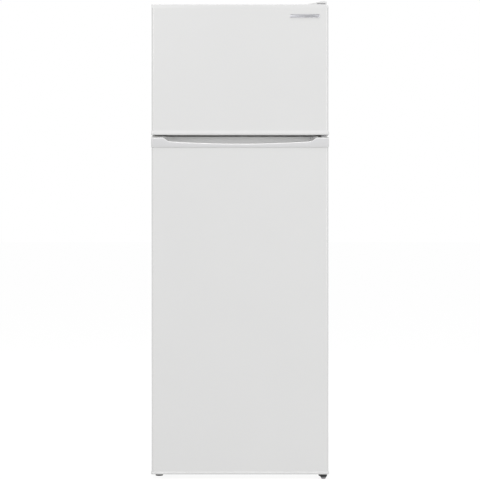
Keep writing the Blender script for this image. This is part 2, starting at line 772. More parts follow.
def fridge_lower_cap():
    """End cap that steps out from the panel's width to its own over its height."""
    node = "fridge_door_bottom_cap"
    low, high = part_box(node)
    skin_low, skin_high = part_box("fridge_door_skin")
    rows = []
    for pull, set_back, share in (
        (0.4, 0.0022, 0.0), (0.14, 0.0008, 0.18), (0.0, 0.0, 0.42), (0.0, 0.0, 0.62),
        (0.0010, 0.0006, 0.82), (1.0, 0.0020, 1.0),
    ):
        # the node also holds the spigot inside the panel, so only its visible band is drawn
        z = low.z + (skin_low.z - low.z) * share
        edge = high.x - pull * (high.x - skin_high.x)
        y = low.y + set_back
        outline = rounded([(-edge, high.y), (-edge, y), (edge, y), (edge, high.y)],
                          [0, 0.006, 0.006, 0], 6)
        rows.append([(u, v, z) for u, v in outline])
    shape("fridge_lower_cap", tidy(loft(rows)), "cap_plastic", "fridge_door", [node], 30)


def freezer_upper_cap():
    """Flush cap whose outer corner on the hinge side is rounded in the front view."""
    node = "freezer_door_top_cap"
    low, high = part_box(node)
    half = high.x
    seam = low.z - 0.0003  # meets the panel's edge
    outline = rounded(corners((-half, half), (seam, high.z)), [0, 0, 0.0085, 0.0012], 8)
    bm = extruded(outline, "XZ", low.y, high.y)
    front = [e for e in bm.edges if all(v.co.y < low.y + 0.0005 for v in e.verts)]
    soften(bm, 0.0012, 3, [e for e in front if any(v.co.z >= seam + 0.0005 for v in e.verts)])
    shape("freezer_upper_cap", bm, "cap_plastic", "freezer_door", [node], 30)


def badge():
    """Plain satin bar with a polished raised rim."""
    low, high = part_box("door_badge")
    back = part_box("freezer_door_skin")[0].y
    size = high.z - low.z
    outline = rounded(corners((low.x, high.x), (low.z, high.z)), [size * 0.42] * 4, 6)
    bm = extruded(outline, "XZ", low.y, back)
    face = max(faces_towards(bm, (0, -1, 0)), key=lambda f: f.calc_area())
    soften(bm, 0.0004, 2, face.edges)
    face = max(faces_towards(bm, (0, -1, 0)), key=lambda f: f.calc_area())
    bmesh.ops.inset_region(bm, faces=[face], thickness=0.0007, use_even_offset=True)
    bmesh.ops.translate(bm, verts=face.verts, vec=(0, 0.0004, 0))
    shape("badge_bar", tidy(bm), "silver_trim", "freezer_door", ["door_badge"], 30)


# ---- hinges and feet ----------------------------------------------------------------
def top_hinge():
    """Moulded cover ramped on its inner side, open in front where the plate comes out."""
    low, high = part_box("top_hinge_cover")
    plate_low, plate_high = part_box("top_hinge_bracket")
    base, top = low.z, high.z
    slot = plate_high.z + 0.0003
    outline = rounded(
        [(low.x, base), (plate_low.x + 0.0045, base), (plate_low.x + 0.0045, slot),
         (plate_high.x - 0.0015, slot), (plate_high.x - 0.0015, base), (high.x, base),
         (high.x, top - 0.0010), (high.x - 0.010, top), (high.x - 0.021, top - 0.0012),
         (high.x - 0.034, top - 0.0046), (low.x + 0.004, base + 0.0016)],
        [0, 0.0003, 0.0006, 0.0006, 0.0003, 0.0005, 0.0030, 0.008, 0.012, 0.012, 0.0008], 4,
    )
    bm = extruded(outline, "XZ", low.y, high.y)
    ends = [e for e in bm.edges if abs(e.verts[0].co.y - e.verts[1].co.y) < 1e-6
            and min(v.co.z for v in e.verts) > slot + 0.0012]
    soften(bm, 0.0014, 3, ends)
    shape("top_hinge_cap", tidy(bm), "cap_plastic", "root", ["top_hinge_cover"], 30)


def hinge_screws():
    """Pan heads that hold the middle and bottom hinges."""
    heads = bmesh.new()
    for node, spots in (
        ("middle_hinge_bracket", [(0.265, 1.045), (0.265, 1.082)]),
        ("bottom_hinge_bracket", [(0.249, 0.024), (0.263, 0.024)]),
    ):
        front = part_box(node)[1].y - 0.002
        for x, z in spots:
            merge(heads, screw_head((x, front, z), "-Y", 0.0036, 0.0018))
    shape("hinge_screws", heads, "screw_steel", "root")


def threaded(radius, low, high, pitch=0.00125, depth=0.0003):
    """Rows of a thread's crests and roots, top to bottom."""
    rows, count = [], int((high - low) / pitch)
    for i in range(count):
        z = high - i * pitch
        rows += [(radius - depth, z), (radius, z - pitch * 0.3), (radius, z - pitch * 0.6)]
    return rows


def foot_part(node, name, profile, material, replaced=(), smooth=35.0, steps=36):
    """One turned part of a levelling foot, on the foot's axis."""
    x, y, _ = centred(node)[2]
    shape(name, lathe(profile, (x, y, 0), steps=steps), material, node, replaced, smooth)


def right_foot():
    """Plated foot whose thread turns in the hollow hinge pin."""
    node = "levelling_foot_right"
    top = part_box(node)[1].z
    foot_part(node, "right_foot_collar", [
        (0.0, 0.0092), (0.0098, 0.0092), (0.0104, 0.0086), (0.0104, 0.0070), (0.0100, 0.0062),
        (0.0, 0.0062)], "black_plastic", smooth=25)
    foot_part(node, "right_foot_cone", [
        (0, 0.0063), (0.0090, 0.0063), (0.0086, 0.0050), (0.0078, 0.0034), (0.0066, 0.0010),
        (0.0058, 0.0), (0, 0)], "foot_steel", [node], 25)
    stem = threaded(0.0025, 0.0094, top - 0.0004)
    foot_part(node, "right_foot_stem", [(0, top), *stem, (0.0022, 0.0090), (0, 0.0090)],
              "screw_steel", steps=20)


def left_foot():
    """Ribbed rubber foot on a threaded stem."""
    node = "levelling_foot_left"
    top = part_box(node)[1].z
    ribs = []
    for i in range(4):
        z = 0.0105 - i * 0.0024
        ribs += [(0.0118, z), (0.0118, z - 0.0014), (0.0112, z - 0.0017), (0.0112, z - 0.0022)]
    foot_part(node, "left_foot_pad", [
        (0, 0.0125), (0.0100, 0.0125), (0.0116, 0.0112), *ribs, (0.0116, 0.0008), (0.0108, 0.0),
        (0, 0)], "foot_rubber", [node], 25)
    stem = threaded(0.0039, 0.0126, top - 0.001)
    foot_part(node, "left_foot_stem", [(0, top), *stem, (0.0036, 0.012), (0, 0.012)],
              "screw_steel", steps=20)


# ---- cabinet shell ------------------------------------------------------------------
def cabinet_wrap():
    """Folded shell: rounded outer edges and a front flange with a turned-in edge."""
    low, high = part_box("cabinet_shell")
    opening_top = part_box("freezer_liner")[1].z
    opening_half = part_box("mullion_cover")[1].x
    bm = block(low, high)
    open_sides(bm, (0, 1, 0), (0, 0, -1))
    soften(bm, 0.0028, 4, [
        e for e in bm.edges
        if not all(v.co.y > high.y - 0.001 for v in e.verts)
        and not all(v.co.z < low.z + 0.001 for v in e.verts)
    ])
    front = [f for f in faces_towards(bm, (0, -1, 0), 0.999)]
    for co, no in (((opening_half, 0, 0), (1, 0, 0)), ((-opening_half, 0, 0), (1, 0, 0)),
                   ((0, 0, opening_top), (0, 0, 1))):
        geom = [g for f in front for g in (f, *f.edges, *f.verts)]
        bmesh.ops.bisect_plane(bm, geom=list(dict.fromkeys(geom)), plane_co=co, plane_no=no)
        front = faces_towards(bm, (0, -1, 0), 0.999)
    hole = [
        f for f in front
        if abs(f.calc_center_median().x) < opening_half
        and f.calc_center_median().z < opening_top
    ]
    bmesh.ops.delete(bm, geom=hole, context="FACES")
    bmesh.ops.solidify(bm, geom=bm.faces[:], thickness=SKIN_THICK)
    shape("cabinet_wrap", tidy(bm), "cabinet_paint", "root", ["cabinet_shell"], 30)


door_panel("freezer_door_skin", "freezer_door")
door_panel("fridge_door_skin", "fridge_door")
handle_cap()
freezer_lower_cap()
fridge_lower_cap()
freezer_upper_cap()
badge()
top_hinge()
hinge_screws()
right_foot()
left_foot()
cabinet_wrap()


# ---- cavities and shelves -----------------------------------------------------------
def rect_loop(x, y, z, corner, steps=4):
    """A level rounded rectangle at one height."""
    return [(u, v, z) for u, v in rounded(corners(x, y), [corner] * 4, steps)]


def upright_loop(half, low, high, y, corner, steps=5):
    """An upright rounded rectangle facing the doors."""
    outline = rounded(corners((-half, half), (low, high)), [corner] * 4, steps)
    return [(u, y, v) for u, v in outline]


def quarter(centre, radius, start, end, steps=4):
    """Points of an arc, as (across, up) pairs."""
    turns = [circle_point(radius, start + (end - start) * i / steps) for i in range(steps + 1)]
    return [(centre[0] + across, centre[1] + up) for across, up in turns]


def cavity(half, high, front, path):
    """Vacuum-formed tub: a rolled mouth, walls following the floor's path, a rounded back."""
    sections = []
    for y, low, inset in path:
        corner = max(LINER_ROUND - inset * 0.5, 0.006)
        sections.append(upright_loop(half - inset, low, high - inset, y, corner))
    bm = loft(sections)
    lid = [f for f in bm.faces if len(f.verts) > 4 and f.calc_center_median().y < front + 0.001]
    bmesh.ops.delete(bm, geom=lid, context="FACES")
    return bm


def mouth(front, lip=MOUTH_LIP):
    """Offsets of the rolled edge where the flange turns into the cavity."""
    turns = [circle_point(lip, degrees) for degrees in (0, 18, 36, 54, 72, 90)]
    return [(front + lip - across, lip - up) for across, up in turns]


def rolled_back(rear, floor):
    """Path of the rounded corner between a floor and the rear wall."""
    path = [(rear - LINER_ROUND, floor, 0.0)]
    for degrees in (20, 40, 60, 80, 90):
        across, up = circle_point(LINER_ROUND, degrees)
        path.append((rear - LINER_ROUND + up, floor + LINER_ROUND - across, LINER_ROUND - across))
    return path


def rim_of(node, half, floor, ceiling):
    """Flat rim that meets a cavity's rolled mouth."""
    low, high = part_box(node)
    return flange_ring(half + MOUTH_LIP, floor - MOUTH_LIP, ceiling + MOUTH_LIP, low, high)


def freezer_cavity():
    """The upper tub, with a ledge under each side of the rack."""
    low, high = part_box("freezer_liner")
    front, rear = low.y, high.y - LINER_WALL
    floor, ceiling, half = FREEZER_FLOOR, FREEZER_CEILING, FREEZER_CAVITY_HALF
    path = [(y, floor - out, -out) for y, out in mouth(front)] + rolled_back(rear, floor)
    bm = cavity(half, ceiling, front, path)
    merge(bm, rim_of("freezer_liner", half, floor, ceiling))
    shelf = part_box("freezer_shelf")
    for side in (-1, 1):
        merge(bm, ledge(side, half, shelf[0].z, shelf[0].y, rear - 0.010))
    shape("freezer_cavity", bm, "liner_plastic", "root", ["freezer_liner"], 30)


def ledge(side, half, top, front, rear):
    """Moulded ledge with rounded nose and ends, under one side of a shelf."""
    x = mirrored(side, half - 0.0095, half + MOUTH_LIP)
    return soft_block((x[0], front, top - 0.0103), (x[1], rear, top - 0.0003), 0.0030, 3)


def flange_ring(half, floor, ceiling, low, high):
    """Flat rim between the cavity's mouth and the cabinet's steel flange."""
    outer = [(x, low.y, z) for x, z in corners((low.x, high.x), (low.z, high.z))]
    inner = upright_loop(half, floor, ceiling, low.y, LINER_ROUND + 0.002)
    bm = bmesh.new()
    edges = loop_edges(bm, outer) + loop_edges(bm, inner)
    bmesh.ops.triangle_fill(bm, use_beauty=True, use_dissolve=False, edges=edges)
    hole = [f for f in bm.faces
            if abs(f.calc_center_median().x) < half - 0.001
            and floor + 0.001 < f.calc_center_median().z < ceiling - 0.001]
    bmesh.ops.delete(bm, geom=hole, context="FACES")
    return bm


def fridge_cavity():
    """The lower tub, with the step over the compressor and its ledges."""
    low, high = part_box("fridge_liner")
    front, rear = low.y, high.y - LINER_WALL
    ceiling, half = FRIDGE_CEILING, FRIDGE_CAVITY_HALF
    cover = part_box("crisper_cover")
    floor, step, step_y = FRIDGE_FLOOR, cover[0].z - SEAM, STEP_FRONT
    r = LINER_ROUND
    path = [(y, floor - out, -out) for y, out in mouth(front)]
    # the step's wall leans a little, as a formed sheet must to leave its mould
    path += [(y, z, 0.0) for y, z in quarter((step_y - 0.001 - r, floor + r), r, -90, 0, 5)]
    path += [(y, z, 0.0) for y, z in quarter((step_y + 0.008, step - 0.008), 0.008, 180, 90, 4)]
    bm = cavity(half, ceiling, front, path + rolled_back(rear, step))
    merge(bm, rim_of("fridge_liner", half, floor, ceiling))
    for node in ("shelf_lower", "shelf_middle", "shelf_upper"):
        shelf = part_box(node)
        for side in (-1, 1):
            merge(bm, ledge(side, half, shelf[0].z, shelf[0].y, shelf[1].y))
    for side in (-1, 1):
        merge(bm, ledge(side, half, cover[0].z, cover[0].y + 0.005, step_y - 0.010))
    shape("fridge_cavity", bm, "liner_plastic", "root", ["fridge_liner"], 30)


def glass_shelf(node):
    """Toughened glass held by a white front trim and a rear stop."""
    low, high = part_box(node)
    glass = soft_block(
        (low.x + 0.0008, low.y + 0.004, low.z + 0.0002), (high.x - 0.0008, high.y - 0.003, high.z),
        0.0006, 2,
    )
    shape(node + "_glass", glass, "shelf_glass", "root", [node], 30)
    front = rounded(
        [(low.y, low.z), (low.y + 0.0155, low.z), (low.y + 0.0155, high.z + 0.0014),
         (low.y, high.z + 0.0014)],
        [0.0014, 0.0006, 0.0008, 0.0022], 4,
    )
    trim = extruded(front, "YZ", low.x, high.x)
    nose = rounded(
        [(low.y, low.z - 0.0075), (low.y + 0.0024, low.z - 0.0075), (low.y + 0.0024, low.z + 0.001),
         (low.y, low.z + 0.001)], [0.0010, 0.0010, 0, 0], 4,
    )
    merge(trim, extruded(nose, "YZ", low.x + 0.0115, high.x - 0.0115))
    rear = rounded(
        [(high.y - 0.0110, low.z + 0.0004), (high.y, low.z + 0.0004), (high.y, high.z + 0.0090),
         (high.y - 0.0024, high.z + 0.0090), (high.y - 0.0030, high.z + 0.0014),
         (high.y - 0.0110, high.z + 0.0014)],
        [0.0005, 0.0005, 0.0011, 0.0011, 0.0015, 0.0006], 3,
    )
    merge(trim, extruded(rear, "YZ", low.x, high.x))
    shape(node + "_trim", trim, "white_moulding", "root", smooth=30)


def freezer_rack():
    """Plastic-coated wires: a frame, cross bars and runners front to back."""
    low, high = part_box("freezer_shelf")
    wire = 0.0014
    z = low.z + wire
    across, along = (low.x + wire, high.x - wire), (low.y + wire, high.y - wire)
    bm = tube(rect_loop(across, along, z, 0.012, 6), wire, 10, closed=True)
    for share in (0.30, 0.70):
        y = low.y + (high.y - low.y) * share
        merge(bm, tube([(low.x + wire, y, z), (high.x - wire, y, z)], wire, 10))
    runners = 19
    for i in range(1, runners):
        x = low.x + (high.x - low.x) * i / runners
        merge(bm, tube([(x, along[0] - 0.0004, z), (x, along[0], z + 0.0010),
                        (x, along[0] + 0.004, z + 0.0016), (x, along[1] - 0.004, z + 0.0016),
                        (x, along[1], z + 0.0010)], 0.0011, 8))
    shape("freezer_rack", bm, "white_moulding", "root", ["freezer_shelf"], 40)


# ---- bins and drawer ----------------------------------------------------------------
def tub(low, high, wall, corner, foot, lip, draft=0.0015):
    """Moulded open box: drafted walls, rounded foot, rolled rim, and an inner skin."""
    def ring(z, inset):
        return rect_loop(
            (low.x + inset, high.x - inset), (low.y + inset, high.y - inset), z,
            max(corner - inset, 0.0012), 5,
        )

    height = high.z - low.z
    base = lip + draft
    rows = [ring(low.z, base + foot)]
    for turn in (30, 60, 90):
        a = math.radians(turn)
        rows.append(ring(low.z + foot * (1 - math.cos(a)), base + foot * (1 - math.sin(a))))
    rows.append(ring(high.z - 0.0055, lip + draft * 0.05))
    rows += [ring(high.z - 0.0050, lip * 0.2), ring(high.z - 0.0044, 0.0)]
    rows += [ring(high.z - 0.0008, 0.0), ring(high.z - 0.0002, 0.0004), ring(high.z, 0.0010)]
    rows += [ring(high.z - 0.0001, lip + wall * 0.7), ring(high.z - 0.0006, lip + wall)]
    rows.append(ring(low.z + wall + foot, base + wall - draft * foot / height))
    for turn in (60, 30, 0):
        a = math.radians(turn)
        rows.append(ring(low.z + wall + foot * (1 - math.cos(a)),
                         base + wall + foot * (1 - math.sin(a))))
    return loft(rows)


def door_tray(node, body, ribs=9):
    """Door bin with upright ribs moulded on the wall that faces the shelves."""
    low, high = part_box(node)
    bm = tub(low, high, 0.0018, 0.016, 0.006, 0.0014)
    step = (high.x - low.x - 0.06) / (ribs - 1)
    for i in range(ribs):
        x = low.x + 0.03 + i * step
        rib = rounded([(x - 0.0016, high.y - 0.0036), (x + 0.0016, high.y - 0.0036),
                       (x + 0.0009, high.y - 0.0006), (x - 0.0009, high.y - 0.0006)],
                      [0, 0, 0.0006, 0.0006], 3)
        merge(bm, extruded(rib, "XY", low.z + 0.010, high.z - 0.0065))
    shape(node + "_tray", bm, "clear_plastic", body, [node], 32)


def drawer():
    """Clear crisper drawer with a white pull along its front edge."""
    low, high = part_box("crisper_drawer")
    front = low.y + 0.008
    box_low = Vector((low.x, front, low.z))
    bm = tub(box_low, high, 0.0022, 0.014, 0.007, 0.0014, 0.004)
    shape("crisper_box", bm, "clear_plastic", "crisper_drawer", ["crisper_drawer"], 32)
    grip = rounded(
        [(front + 0.0010, high.z), (low.y, high.z - 0.0006), (low.y, high.z - 0.0100),
         (low.y + 0.0020, high.z - 0.0100), (low.y + 0.0028, high.z - 0.0030),
         (front + 0.0010, high.z - 0.0030)],
        [0, 0.0018, 0.0009, 0.0009, 0.0022, 0], 4,
    )
    shape("crisper_grip", extruded(grip, "YZ", -0.0895, 0.0895), "white_moulding",
          "crisper_drawer", smooth=30)


# ---- controls -----------------------------------------------------------------------
def controls():
    """Thermostat housing with its vents, index, knob and marks."""
    low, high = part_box("control_housing")
    bm = soft_block(low, (high.x, high.y, high.z), 0.0042, 5)
    knob_low, knob_high, (cx, _, cz) = centred("thermostat_knob")
    for i in range(9):
        y = low.y + 0.040 + i * 0.008
        merge(bm, soft_block((low.x + 0.012, y, low.z - 0.0006),
                             (high.x - 0.012, y + 0.003, low.z + 0.0008), 0.0005, 2))
    shape("control_box", bm, "white_moulding", "root", ["control_housing"], 30)
    reach = knob_high.x - cx
    index = block((cx - 0.0005, low.y - 0.00015, cz + reach + 0.0012),
                  (cx + 0.0005, low.y + 0.0004, cz + reach + 0.0030))
    shape("dial_index", index, "black_plastic", "root")
    face, depth = low.y - SEAM, 0.010
    ring = [(0, depth + 0.0002), (reach * 0.62, depth), (reach * 0.84, depth - 0.0006),
            (reach * 0.93, depth - 0.0018), (reach, 0.0016), (reach, 0.0), (0.0030, 0.0),
            (0.0030, -0.0145), (0, -0.0145)]
    knob = lathe(ring, (cx, face, cz), "-Y", 56)
    for vert in knob.verts:
        across, up = vert.co.x - cx, vert.co.z - cz
        radius = math.hypot(across, up)
        if radius > reach * 0.9:
            turn = math.atan2(up, across)
            cut = 1 - 0.020 * (0.5 - 0.5 * math.cos(turn * 28))
            vert.co.x, vert.co.z = cx + across * cut, cz + up * cut
    merge(knob, soft_block((cx - 0.0026, knob_low.y, cz - 0.0130),
                           (cx + 0.0026, face - depth + 0.001, cz + 0.0130), 0.0012, 3))
    shape("dial", knob, "white_moulding", "thermostat_knob", ["thermostat_knob"], 30)
    pointer = block((cx - 0.0004, knob_low.y - 0.00005, cz + 0.0040),
                    (cx + 0.0004, knob_low.y + 0.0006, cz + 0.0110))
    shape("dial_pointer", pointer, "black_plastic", "thermostat_knob")
    marks = bmesh.new()
    for i in range(1, 7):  # each mark comes under the index one step of the turn later
        half = 0.00022 + 0.00006 * i
        tick = block((-half, face - depth, 0.0103), (half, face - depth + 0.0012, 0.0127))
        bmesh.ops.rotate(tick, verts=tick.verts, cent=(0, 0, 0),
                         matrix=Matrix.Rotation(math.radians(DIAL_STEP * i), 3, "Y"))
        bmesh.ops.translate(tick, verts=tick.verts, vec=(cx, 0, cz))
        merge(marks, tick)
    shape("dial_marks", marks, "black_plastic", "thermostat_knob")


def lamp():
    """Frosted lens with ribs, and the bulb and its cap behind it."""
    low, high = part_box("lamp_cover")
    bm = block(low, high)
    open_sides(bm, (0, 0, 1))
    edge = [e for e in bm.edges if not all(v.co.z > high.z - 0.0005 for v in e.verts)]
    soften(bm, 0.0036, 4, edge)
    bmesh.ops.solidify(bm, geom=bm.faces[:], thickness=0.0018)
    for i in range(12):
        y = low.y + 0.012 + i * 0.0105
        merge(bm, soft_block((low.x + 0.007, y, low.z - 0.0005),
                             (high.x - 0.007, y + 0.004, low.z + 0.0008), 0.0005, 2))
    shape("lamp_lens", tidy(bm), "lamp_plastic", "root", ["lamp_cover"], 30)
    bulb_low, bulb_high, (x, _, z) = centred("lamp_bulb")
    reach = (bulb_high.x - bulb_low.x) / 2
    profile = [(0, 0.0218)] + quarter((0, 0.0092), reach, 75, -30, 7)
    profile += [(0.0088, -0.0010), (0.0072, -0.0060), (0.0068, -0.0080), (0, -0.0080)]
    shape("bulb", lathe(profile, (x, 0.0, z), "-Y", 32), "lamp_glass", "root", ["lamp_bulb"])
    thread = [(0, -0.0078), (0.0066, -0.0078)]
    for i in range(6):
        thread += [(0.0068, -0.0085 - i * 0.0021), (0.0062, -0.0095 - i * 0.0021)]
    thread += [(0.0058, -0.0212), (0.0030, -0.0232), (0, -0.0238)]
    shape("bulb_cap", lathe(thread, (x, 0.0, z), "-Y", 32), "screw_steel", "root")


def plunger():
    """Door switch: a round-nosed plunger in its bezel."""
    low, high, (x, _, z) = centred("light_switch_plunger")
    length, r, nose = high.y - low.y, (high.x - low.x) / 2, 0.0012
    profile = [(0, length)] + quarter((r - nose, length - nose), nose, 90, 0, 3)
    profile += [(r, 0), (0, 0)]
    shape("switch_plunger", lathe(profile, (x, high.y, z), "-Y", 28), "white_moulding",
          "light_switch_plunger", ["light_switch_plunger"])
    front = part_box("mullion_cover")[0].y
    bezel = [(r + 0.0007, 0.0002), (r + 0.0007, 0.0012), (r + 0.0014, 0.0016), (r + 0.0036, 0.0013),
             (r + 0.0042, 0.0006), (r + 0.0042, 0.0), (r + 0.0007, 0.0002)]
    shape("switch_bezel", lathe(bezel, (x, front, z), "-Y", 32), "white_moulding", "root")


# ---- inner side of the doors --------------------------------------------------------
def door_lining(body, bins):
    """Formed lining: rim plate, a rounded dike all round, and hooks that carry the bins."""
    node = body + "_liner"
    low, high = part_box(node)
    half, width, heights, reach = DIKES[body]
    face = low.y + LINER_WALL
    plate = soft_block((low.x, low.y, low.z), (high.x, face, high.z), 0.0006, 2)
    # a pressed step runs round the rim, outside the dike
    profile = [(-0.0035, face - 0.0004), (-0.0008, face + 0.0006), (0.0006, face + 0.0035)]
    profile += [(0.0010, reach - 0.0065)]
    profile += quarter((0.0070, reach - 0.0060), 0.0060, 180, 90, 4)
    profile += quarter((width - 0.0070, reach - 0.0060), 0.0060, 90, 0, 4)
    profile += [(width - 0.0006, face + 0.0050), (width + 0.0010, face + 0.0010),
                (width + 0.0030, face - 0.0004)]
    merge(plate, ring_sweep(profile, half, heights, DIKE_CORNER, 7))
    wall = half - width
    for name in bins:
        tray_low, tray_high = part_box(name)
        for side in (-1, 1):
            x = mirrored(side, tray_high.x - 0.010, wall + 0.0010)
            merge(plate, soft_block((x[0], face + 0.0030, tray_low.z - 0.0083),
                                    (x[1], reach - 0.0064, tray_low.z - 0.0003), 0.0020, 3))
            keeper = mirrored(side, tray_high.x + 0.0012, wall + 0.0010)
            if keeper[1] - keeper[0] > 0.0012:
                merge(plate, soft_block(
                    (keeper[0], face + 0.006, tray_low.z + 0.010),
                    (keeper[1], face + 0.013, tray_high.z - 0.012), 0.0005, 2))
    shape(body + "_lining", plate, "liner_plastic", body, [node], 32)


def door_core(body):
    """Foam core, with the rounded ridge that fills the lining's dike."""
    node = body + "_foam"
    low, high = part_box(node)
    half, width, heights, reach = DIKES[body]
    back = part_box(body + "_liner")[0].y - SEAM
    core = block(low, (high.x, back, high.z))
    front = [e for e in edges_along(core, (0, 0, 1)) if e.verts[0].co.y < low.y + 0.001]
    soften(core, 0.007, 5, front)
    clear, r = 0.0020, 0.0060
    profile = [(clear, back - 0.002), (clear, reach - clear - r)]
    profile += quarter((clear + r, reach - clear - r), r, 180, 90, 4)[1:]
    profile += quarter((width - clear - r, reach - clear - r), r, 90, 0, 4)
    profile += [(width - clear, back - 0.002)]
    merge(core, ring_sweep(profile, half, heights, DIKE_CORNER, 7))
    shape(body + "_core", core, "insulation", body, [node], 32)


def bellows(body):
    """Magnetic seal: folded bellows with the magnet's flat band at the cabinet side."""
    node = body + "_gasket"
    low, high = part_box(node)
    depth = high.y - low.y
    folds = [(0.0012, 0.0), (0.0, 0.10), (0.0004, 0.20), (0.0026, 0.30), (0.0004, 0.40),
             (0.0003, 0.48), (0.0026, 0.56), (0.0004, 0.66), (0.0, 0.80), (0.0006, 0.93),
             (0.0022, 1.0)]
    profile = [(inset, low.y + depth * share) for inset, share in folds]
    profile += [(SEAL_WIDTH - inset, low.y + depth * share) for inset, share in reversed(folds)]
    shape(body + "_seal", ring_sweep(profile, high.x, (low.z, high.z), 0.006, 4), "seal_rubber",
          body, [node], 40)


freezer_cavity()
fridge_cavity()
for shelf_node in ("shelf_lower", "shelf_middle", "shelf_upper", "crisper_cover"):
    glass_shelf(shelf_node)
freezer_rack()
drawer()
controls()
lamp()
plunger()
for door, bins in (("freezer_door", ["freezer_bin"]),
                   ("fridge_door", ["bottle_bin", "middle_bin", "upper_bin"])):
    door_lining(door, bins)
    door_core(door)
    bellows(door)
    for bin_node in bins:
        door_tray(bin_node, door)


# ---- back of the cabinet ------------------------------------------------------------
def arc_between(centre, radius, start, end, y, steps):
    return [Vector((u, y, v)) for u, v in quarter(centre, radius, start, end, steps)]


def smooth_path(points, steps=8):
    """Catmull-Rom curve through given points."""
    knots = [Vector(p) for p in points]
    knots = [2 * knots[0] - knots[1], *knots, 2 * knots[-1] - knots[-2]]
    path = []
    for a, b, c, d in zip(knots, knots[1:], knots[2:], knots[3:]):
        for i in range(steps):
            t = i / steps
            path.append(0.5 * ((2 * b) + (c - a) * t + (2 * a - 5 * b + 4 * c - d) * t**2
                               + (3 * b - a - 3 * c + d) * t**3))
    path.append(knots[-2])
    return path


def rear_sheet():
    """Back panel with its legs, pressed upright beads and screws round its edge."""
    low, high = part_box("back_panel")
    legs = low.z
    low.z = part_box("base_pan")[1].z + 0.0003
    bm = soft_block(low, high, 0.0003, 1)
    leg_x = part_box("compressor_tray")[1].x + 0.0006
    for side in (-1, 1):
        x = mirrored(side, leg_x, high.x)
        merge(bm, block((x[0], low.y, legs), (x[1], high.y, low.z + 0.001)))
    for x in (-0.238, -0.222, 0.222, 0.238):
        bead = rounded([(x - 0.0035, high.y - 0.0003), (x - 0.0018, high.y + 0.0013),
                        (x + 0.0018, high.y + 0.0013), (x + 0.0035, high.y - 0.0003)],
                       [0, 0.0008, 0.0008, 0], 3)
        merge(bm, extruded(bead, "XY", low.z + 0.070, high.z - 0.040))
    shape("rear_sheet", bm, "cabinet_paint", "root", ["back_panel"], 30)
    heads = bmesh.new()
    rows = [low.z + 0.012 + (high.z - low.z - 0.024) * i / 6 for i in range(7)]
    for z in rows:
        for x in (low.x + 0.008, high.x - 0.008):
            merge(heads, screw_head((x, high.y, z), "Y"))
    for x in (-0.15, -0.05, 0.05, 0.15):
        merge(heads, screw_head((x, high.y, high.z - 0.010), "Y"))
    shape("rear_screws", heads, "screw_steel", "root")


def condenser():
    """Serpentine tube with fifteen level runs and round wires welded across it."""
    r = COIL_TUBE
    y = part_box("condenser_coil")[1].y - r
    flat = [Vector((RISER_X, y, RISER_FOOT))]
    flat += arc_between((RISER_X - COIL_CORNER, COIL_TOP - COIL_CORNER), COIL_CORNER, 0, 90, y, 6)
    bend = COIL_PITCH / 2
    for run in range(COIL_RUNS - 1):
        side = -1 if run % 2 == 0 else 1
        sweep = (90, 270) if side < 0 else (90, -90)
        centre = (side * COIL_HALF, COIL_TOP - run * COIL_PITCH - bend)
        flat += arc_between(centre, bend, *sweep, y, 14)
    last = COIL_TOP - (COIL_RUNS - 1) * COIL_PITCH
    flat += arc_between((OUTLET_X + COIL_CORNER, last - COIL_CORNER), COIL_CORNER, 90, 180, y, 6)
    _, drier_high, (dx, dy, _) = centred("filter_drier")
    flat += smooth_path([
        (OUTLET_X, y, 0.290), (OUTLET_X, y - 0.004, 0.255), (OUTLET_X + 0.020, y - 0.035, 0.215),
        (dx, dy, 0.185), (dx, dy, drier_high.z + 0.001),
    ])
    shape("condenser_tube", tube(flat, r, 14), "black_enamel", "root", ["condenser_coil"], 40)
    low, high, (_, wire_y, _) = centred("condenser_wires")
    spread = high.x - low.x - 2 * GRID_WIRE
    grid, welds = bmesh.new(), bmesh.new()
    for i in range(GRID_COUNT):
        x = low.x + GRID_WIRE + spread * i / (GRID_COUNT - 1)
        merge(grid, tube([(x, wire_y, low.z), (x, wire_y, high.z)], GRID_WIRE, 8))
        if i % 2 or abs(x) > COIL_HALF:
            continue
        for run in range(COIL_RUNS):
            z = COIL_TOP - run * COIL_PITCH
            merge(welds, block((x - 0.0011, y + r - 0.0004, z - 0.0012),
                               (x + 0.0011, wire_y, z + 0.0012)))
    merge(grid, welds)
    shape("condenser_grid", grid, "black_enamel", "root", ["condenser_wires"], 40)


def rails():
    """Folded rails with softened folds, slots over the tube ends, and their screws."""
    heads = bmesh.new()
    for node, way in (("condenser_rail_top", 1), ("condenser_rail_bottom", -1)):
        low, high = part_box(node)
        foot_edge = high.z if way > 0 else low.z
        edge = foot_edge - way * 0.020
        t = 0.0018
        outline = rounded(
            [(low.y, foot_edge), (low.y, edge), (high.y - t, edge),
             (high.y - t, edge - way * 0.012), (high.y, edge - way * 0.012),
             (high.y, edge + way * t), (low.y + t, edge + way * t), (low.y + t, foot_edge)],
            [0.0004, 0.0022, 0.0006, 0.0004, 0.0004, 0.0022, 0.0010, 0.0004], 4,
        )
        shape(node + "_bar", extruded(outline, "YZ", low.x, high.x), "black_enamel", "root",
              [node], 30)
        for x in (-0.155, 0.0, 0.155):
            merge(heads, screw_head((x, low.y + t, edge + way * 0.012), "Y", 0.0045, 0.0022))
    shape("rail_screws", heads, "screw_steel", "root")


def gland():
    """Rubber bushing where the supply lead would leave."""
    low, _, (x, _, z) = centred("cord_gland")
    profile = [(0.0036, 0.0), (0.0036, 0.0138), (0.0045, 0.0140), (0.0060, 0.0136),
               (0.0066, 0.0124), (0.0073, 0.0045), (0.0082, 0.0032), (0.0112, 0.0028),
               (0.0118, 0.0020), (0.0118, 0.0), (0.0036, 0.0)]
    shape("lead_bushing", lathe(profile, (x, low.y, z), "Y", 40), "black_plastic", "root",
          ["cord_gland"], 30)


